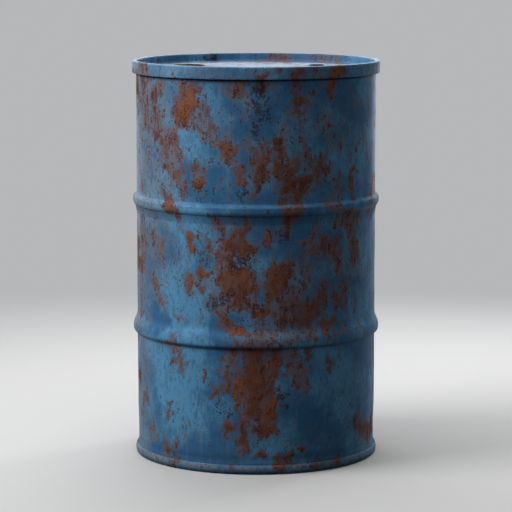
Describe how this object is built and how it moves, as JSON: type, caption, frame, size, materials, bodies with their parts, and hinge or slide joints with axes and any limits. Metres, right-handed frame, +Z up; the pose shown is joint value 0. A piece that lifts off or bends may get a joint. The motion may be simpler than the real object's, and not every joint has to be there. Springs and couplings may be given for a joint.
{
  "type": "steel oil drum",
  "caption": "Weathered blue steel oil drum with swaged rolling hoops, rolled chimes and open threaded bung holes in its closed top.",
  "frame": {"origin": "on the drum's axis, on the floor plane under its bottom chime", "axes": "+Z up along the drum's axis; the picture looks along +Y with +X to its right"},
  "size_m": [0.5716, 0.5716, 0.915],
  "materials": {
    "drum_paint": "faded blue enamel, chipped and rusted through",
    "rusted_steel": "rusted bare steel",
    "gasket_rubber": "matt black rubber",
    "seam_compound": "hardened sealing compound"
  },
  "bodies": {
    "root": {"body_shell": "drum_paint", "top_head": "drum_paint", "bottom_head": "drum_paint", "top_seam_compound": "seam_compound", "bottom_seam_compound": "seam_compound", "large_bung_flange": "rusted_steel", "small_bung_flange": "rusted_steel", "large_flange_gasket": "gasket_rubber", "small_flange_gasket": "gasket_rubber"}
  },
  "joints": []
}
